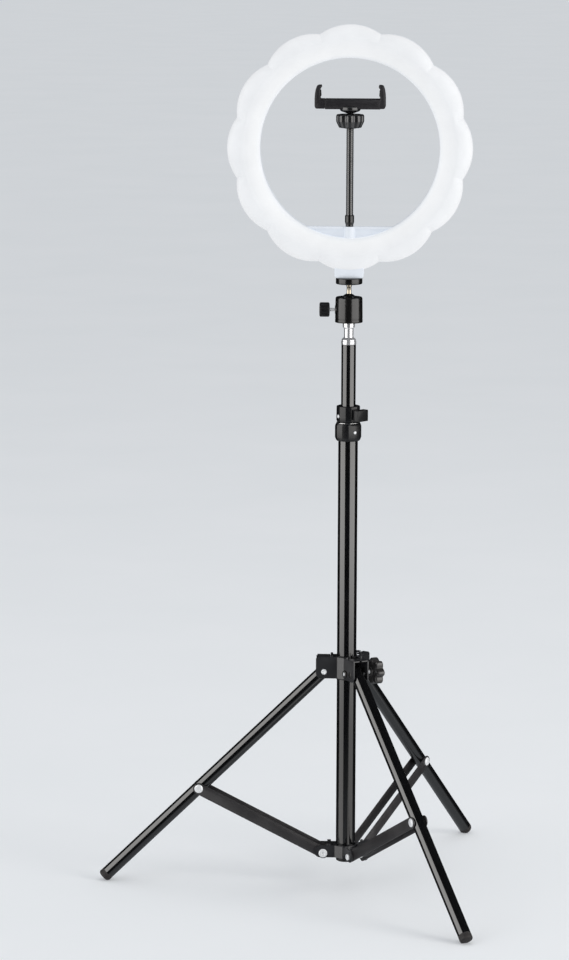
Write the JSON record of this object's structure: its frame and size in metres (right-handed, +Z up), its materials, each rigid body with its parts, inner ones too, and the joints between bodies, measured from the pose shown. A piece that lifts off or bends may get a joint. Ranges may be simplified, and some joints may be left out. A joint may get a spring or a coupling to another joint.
{
  "type": "ring light",
  "caption": "Scalloped ring lamp with a phone clamp on a gooseneck, on a ball head and a telescopic mast with folding tripod legs.",
  "frame": {"origin": "mast axis at floor level, midway between the three feet", "axes": "+Z up along the mast, -Y the way the lamp shines, +X to the right of someone facing the lamp"},
  "size_m": [0.4088, 0.47, 0.933],
  "materials": {
    "opal_diffuser": "opal, lit from behind",
    "white_shell": "satin moulded",
    "circuit_board": "white solder mask",
    "screw_steel": "zinc plated",
    "brass_insert": "machined",
    "inlet_plastic": "satin",
    "stem_steel": "machined",
    "black_alloy": "satin anodised black",
    "white_nylon": "satin",
    "knob_plastic": "satin moulded",
    "collar_plastic": "semi-gloss moulded",
    "rivet_steel": "nickel plated",
    "spigot_chrome": "polished",
    "black_tube": "gloss black lacquer",
    "black_nylon": "satin",
    "bracket_metal": "satin black powder coat",
    "gooseneck_metal": "gloss black",
    "clamp_plastic": "fine-textured",
    "pad_rubber": "matt",
    "spring_steel": "bright",
    "foot_rubber": "matt"
  },
  "bodies": {
    "mast": {"lower_tube": "black_tube", "bottom_plug": "knob_plastic", "base_collar": "bracket_metal", "mast_rivets": "rivet_steel", "lower_clamp_collar": "collar_plastic"},
    "spider": {"spider_bracket": "bracket_metal", "spider_sleeve": "black_nylon", "spider_rivets": "rivet_steel"},
    "spider_knob": {"spider_clamp_bolt": "rivet_steel", "spider_star_knob": "knob_plastic"},
    "middle_section": {"middle_tube": "black_tube", "middle_tube_bush": "black_nylon", "upper_clamp_collar": "collar_plastic", "upper_collar_rivet": "rivet_steel"},
    "upper_section": {"upper_tube": "black_tube", "upper_tube_bush": "black_nylon", "spigot": "spigot_chrome", "ball_head_housing": "black_alloy"},
    "lower_knob": {"lower_clamp_knob": "knob_plastic"},
    "upper_knob": {"upper_clamp_knob": "knob_plastic"},
    "head_knob": {"ball_lock_knob": "knob_plastic", "ball_lock_screw": "rivet_steel"},
    "ball_cup": {"ball_cup": "white_nylon"},
    "ball_stem": {"ball_stem": "stem_steel"},
    "lock_disc": {"lock_disc": "black_alloy"},
    "lamp": {"front_diffuser": "opal_diffuser", "rear_housing": "white_shell", "led_board": "circuit_board", "housing_screws": "screw_steel", "threaded_inserts": "brass_insert", "power_inlet": "inlet_plastic", "arm_ferrule": "black_alloy", "gooseneck_link_1": "gooseneck_metal"},
    "neck_2": {"gooseneck_link_2": "gooseneck_metal"},
    "neck_3": {"gooseneck_link_3": "gooseneck_metal"},
    "neck_4": {"gooseneck_link_4": "gooseneck_metal", "socket_collet": "knob_plastic"},
    "socket_nut": {"socket_nut": "knob_plastic"},
    "socket_seat": {"socket_seat": "white_nylon"},
    "phone_clamp": {"holder_ball_stud": "knob_plastic", "clamp_body": "clamp_plastic", "fixed_jaw_pad": "pad_rubber", "jaw_spring": "spring_steel"},
    "jaw": {"sliding_jaw": "clamp_plastic", "sliding_jaw_pad": "pad_rubber"},
    "leg_1": {"leg_tube_1": "black_tube", "leg_bushes_1": "black_nylon", "foot_1": "foot_rubber"},
    "brace_1": {"brace_strips_1": "bracket_metal", "brace_rivets_1": "rivet_steel"},
    "leg_2": {"leg_tube_2": "black_tube", "leg_bushes_2": "black_nylon", "foot_2": "foot_rubber"},
    "brace_2": {"brace_strips_2": "bracket_metal", "brace_rivets_2": "rivet_steel"},
    "leg_3": {"leg_tube_3": "black_tube", "leg_bushes_3": "black_nylon", "foot_3": "foot_rubber"},
    "brace_3": {"brace_strips_3": "bracket_metal", "brace_rivets_3": "rivet_steel"}
  },
  "joints": [
    {"name": "spider_slide", "type": "slide", "parent": "mast", "child": "spider", "axis": [0, 0, 1], "range_m": [0, 0.1406]},
    {"name": "leg_fold_1", "type": "hinge", "parent": "spider", "child": "leg_1", "pos_m": [-0.0242, 0, 0.2383], "axis": [0, -1, 0], "range_deg": [0, 45.78]},
    {"name": "brace_fold_1", "type": "hinge", "parent": "mast", "child": "brace_1", "pos_m": [-0.0242, 0, 0.036], "axis": [0, -1, 0], "range_deg": [-62.86, 0]},
    {"name": "leg_fold_2", "type": "hinge", "parent": "spider", "child": "leg_2", "pos_m": [0.0121, -0.02096, 0.2383], "axis": [0.866, 0.5, 0], "range_deg": [0, 45.78]},
    {"name": "brace_fold_2", "type": "hinge", "parent": "mast", "child": "brace_2", "pos_m": [0.0121, -0.02096, 0.036], "axis": [0.866, 0.5, 0], "range_deg": [-62.86, 0]},
    {"name": "leg_fold_3", "type": "hinge", "parent": "spider", "child": "leg_3", "pos_m": [0.0121, 0.02096, 0.2383], "axis": [-0.866, 0.5, 0], "range_deg": [0, 45.78]},
    {"name": "brace_fold_3", "type": "hinge", "parent": "mast", "child": "brace_3", "pos_m": [0.0121, 0.02096, 0.036], "axis": [-0.866, 0.5, 0], "range_deg": [-62.86, 0]},
    {"name": "spider_knob_turn", "type": "hinge", "parent": "spider", "child": "spider_knob", "pos_m": [0.0068, -0.01178, 0.2375], "axis": [0.866, 0.5, 0], "range_deg": [-180, 180]},
    {"name": "middle_tube_slide", "type": "slide", "parent": "mast", "child": "middle_section", "axis": [0, 0, 1], "range_m": [0, 0.4]},
    {"name": "upper_tube_slide", "type": "slide", "parent": "middle_section", "child": "upper_section", "axis": [0, 0, 1], "range_m": [-0.066, 0.34]},
    {"name": "lower_knob_turn", "type": "hinge", "parent": "mast", "child": "lower_knob", "pos_m": [0, 0, 0.5001], "axis": [-0.1736, 0.9848, 0], "range_deg": [-180, 180]},
    {"name": "upper_knob_turn", "type": "hinge", "parent": "middle_section", "child": "upper_knob", "pos_m": [0, 0, 0.5191], "axis": [0.766, -0.6428, 0], "range_deg": [-180, 180]},
    {"name": "head_knob_turn", "type": "hinge", "parent": "upper_section", "child": "head_knob", "pos_m": [0, 0, 0.6314], "axis": [-1, 0, 0], "range_deg": [-180, 180]},
    {"name": "head_pan", "type": "hinge", "parent": "upper_section", "child": "ball_cup", "pos_m": [0, 0, 0.64], "axis": [0, 0, 1], "continuous": true},
    {"name": "head_tilt", "type": "hinge", "parent": "ball_cup", "child": "ball_stem", "pos_m": [0, 0, 0.64], "axis": [1, 0, 0], "range_deg": [-30, 30]},
    {"name": "lock_disc_turn", "type": "hinge", "parent": "ball_stem", "child": "lock_disc", "pos_m": [0, 0, 0.6624], "axis": [0, 0, 1], "continuous": true},
    {"name": "lamp_turn", "type": "hinge", "parent": "ball_stem", "child": "lamp", "pos_m": [0, 0, 0.668], "axis": [0, 0, 1], "continuous": true},
    {"name": "neck_bend_1", "type": "hinge", "parent": "lamp", "child": "neck_2", "pos_m": [0, 0, 0.7553], "axis": [1, 0, 0], "range_deg": [-25, 25]},
    {"name": "neck_bend_2", "type": "hinge", "parent": "neck_2", "child": "neck_3", "pos_m": [0, 0, 0.7782], "axis": [1, 0, 0], "range_deg": [-25, 25]},
    {"name": "neck_bend_3", "type": "hinge", "parent": "neck_3", "child": "neck_4", "pos_m": [0, 0, 0.8011], "axis": [1, 0, 0], "range_deg": [-25, 25]},
    {"name": "socket_nut_turn", "type": "hinge", "parent": "neck_4", "child": "socket_nut", "pos_m": [0, 0, 0.832], "axis": [0, 0, 1], "range_deg": [-180, 180]},
    {"name": "holder_pan", "type": "hinge", "parent": "neck_4", "child": "socket_seat", "pos_m": [0, 0, 0.834], "axis": [0, 0, 1], "continuous": true},
    {"name": "holder_tilt", "type": "hinge", "parent": "socket_seat", "child": "phone_clamp", "pos_m": [0, 0, 0.834], "axis": [1, 0, 0], "range_deg": [-15, 15]},
    {"name": "jaw_slide", "type": "slide", "parent": "phone_clamp", "child": "jaw", "axis": [-1, 0, 0], "range_m": [0, 0.025], "stiffness_N_per_m": 220, "springref_m": -0.015, "deforming": ["jaw_spring"]}
  ],
  "couplings": [
    {"joint": "leg_fold_1", "follows": "spider_slide", "rad_per_m": 5.6816},
    {"joint": "brace_fold_1", "follows": "spider_slide", "rad_per_m": -7.8018},
    {"joint": "leg_fold_2", "follows": "spider_slide", "rad_per_m": 5.6816},
    {"joint": "brace_fold_2", "follows": "spider_slide", "rad_per_m": -7.8018},
    {"joint": "leg_fold_3", "follows": "spider_slide", "rad_per_m": 5.6816},
    {"joint": "brace_fold_3", "follows": "spider_slide", "rad_per_m": -7.8018},
    {"joint": "neck_bend_2", "follows": "neck_bend_1", "ratio": 1},
    {"joint": "neck_bend_3", "follows": "neck_bend_1", "ratio": 1}
  ]
}
